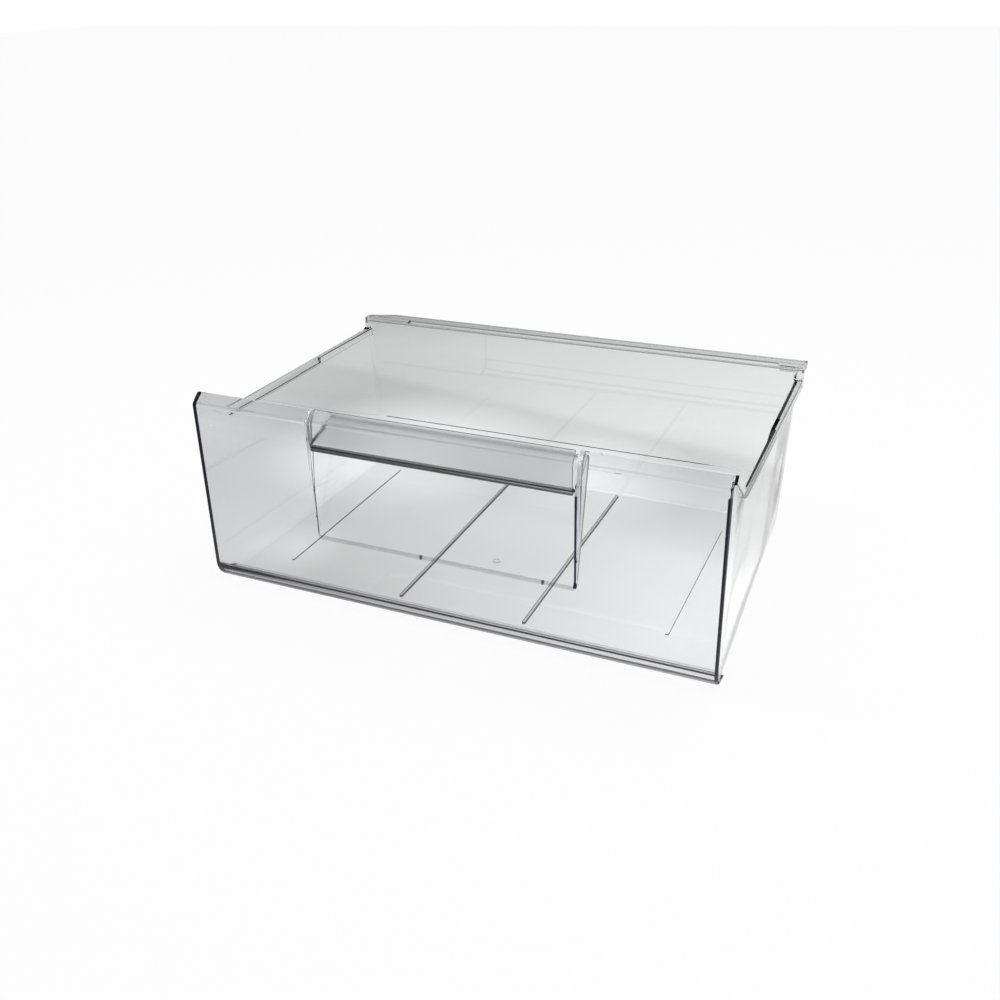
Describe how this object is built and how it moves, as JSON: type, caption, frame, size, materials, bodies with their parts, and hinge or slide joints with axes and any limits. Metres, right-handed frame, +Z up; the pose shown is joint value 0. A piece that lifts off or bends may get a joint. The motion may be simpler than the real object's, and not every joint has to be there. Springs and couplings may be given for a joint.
{
  "type": "freezer drawer",
  "caption": "Clear plastic freezer drawer with raised front, sloped hand pocket, grip strip, side rims and a rear flange.",
  "frame": {"origin": "under the middle of the drawer's width and depth, on the plane that the floor rests on", "axes": "+X to the right seen from the front, +Y to the back of the cabinet, +Z up"},
  "size_m": [0.4334, 0.2889, 0.1681],
  "materials": {
    "clear_tub": "clear polystyrene, polished mould",
    "clear_panel": "clear polystyrene, polished mould",
    "clear_grip": "clear polystyrene with a faint violet grey tint"
  },
  "bodies": {
    "root": {"tub": "clear_tub", "front_panel": "clear_panel", "handle_grip": "clear_grip"}
  },
  "joints": []
}
